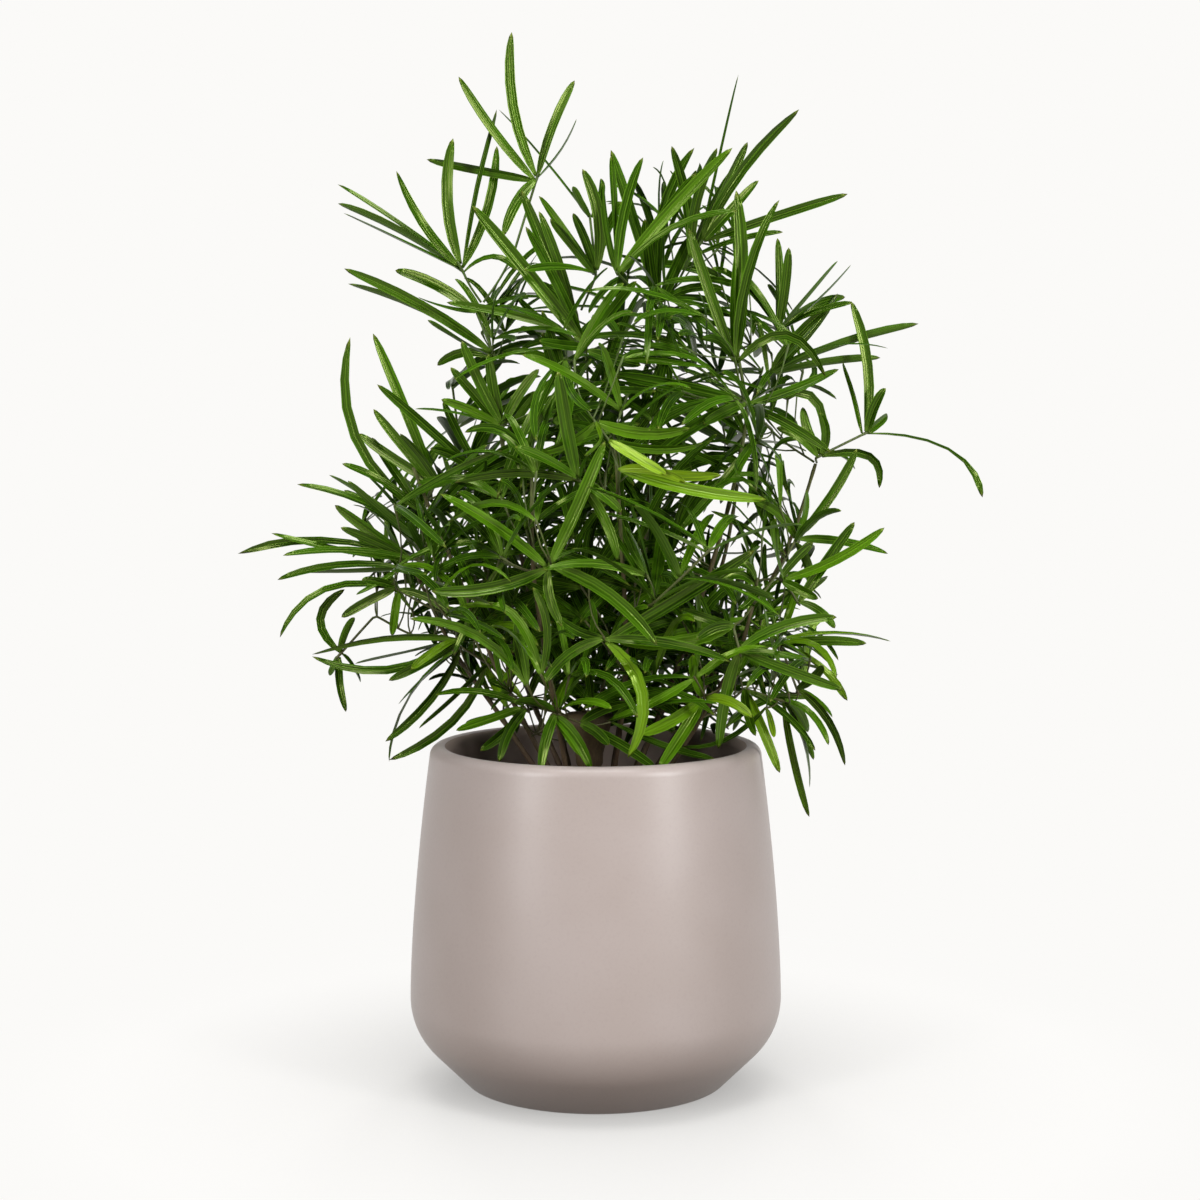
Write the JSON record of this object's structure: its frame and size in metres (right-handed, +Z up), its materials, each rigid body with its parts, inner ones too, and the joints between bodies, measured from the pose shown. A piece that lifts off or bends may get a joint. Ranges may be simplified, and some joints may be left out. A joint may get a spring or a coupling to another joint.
{
  "type": "potted asparagus fern",
  "caption": "Indoor plant in a round planter: thin arching stems with whorls of sickle-shaped strap leaves over a tapered pot with a chamfered foot.",
  "frame": {"origin": "centre of the planter's flat underside, on the surface it stands on", "axes": "+Z up along the planter's axis, -Y towards the front of the plant, +X to the right as seen from the front"},
  "size_m": [0.3984, 0.2182, 0.5587],
  "materials": {
    "planter_glaze": "satin warm grey, softly mottled",
    "potting_soil": "dark crumbly potting mix with bark pieces",
    "cane_bark": "brown to olive woody stem",
    "spray_foliage": "glossy green leaf with fine veins along it"
  },
  "bodies": {
    "root": {"cane_back": "cane_bark", "cane_back_left": "cane_bark", "cane_back_right": "cane_bark", "cane_centre": "cane_bark", "cane_front": "cane_bark", "cane_front_left": "cane_bark", "cane_front_right": "cane_bark", "cane_left": "cane_bark", "cane_left_low": "cane_bark", "cane_left_mid": "cane_bark", "cane_right": "cane_bark", "cane_right_low": "cane_bark", "cane_tall": "cane_bark", "planter": "planter_glaze", "potting_soil": "potting_soil", "spray_back_left": "spray_foliage", "spray_back_low": "spray_foliage", "spray_back_low_left": "spray_foliage", "spray_back_low_right": "spray_foliage", "spray_back_middle": "spray_foliage", "spray_back_right": "spray_foliage", "spray_back_top": "spray_foliage", "spray_big_vertical": "spray_foliage", "spray_bright_top": "spray_foliage", "spray_centre_high": "spray_foliage", "spray_centre_top": "spray_foliage", "spray_crown": "spray_foliage", "spray_far_left": "spray_foliage", "spray_far_left_high": "spray_foliage", "spray_far_right": "spray_foliage", "spray_front_low": "spray_foliage", "spray_front_right": "spray_foliage", "spray_front_star": "spray_foliage", "spray_front_strap": "spray_foliage", "spray_front_upright": "spray_foliage", "spray_left_bright": "spray_foliage", "spray_left_droop": "spray_foliage", "spray_left_high": "spray_foliage", "spray_left_inner": "spray_foliage", "spray_left_low": "spray_foliage", "spray_left_pendent": "spray_foliage", "spray_left_top": "spray_foliage", "spray_left_trailing": "spray_foliage", "spray_long_light": "spray_foliage", "spray_right_cross": "spray_foliage", "spray_right_fan": "spray_foliage", "spray_right_hanging": "spray_foliage", "spray_right_mid": "spray_foliage", "spray_right_outer": "spray_foliage", "spray_right_sickles": "spray_foliage", "spray_right_spider": "spray_foliage", "spray_right_upper": "spray_foliage", "spray_rim_front": "spray_foliage", "spray_rim_left": "spray_foliage", "spray_rim_right": "spray_foliage", "spray_tall_middle": "spray_foliage", "spray_top_right": "spray_foliage", "spray_upper_left": "spray_foliage", "spray_young_bright": "spray_foliage"}
  },
  "joints": []
}
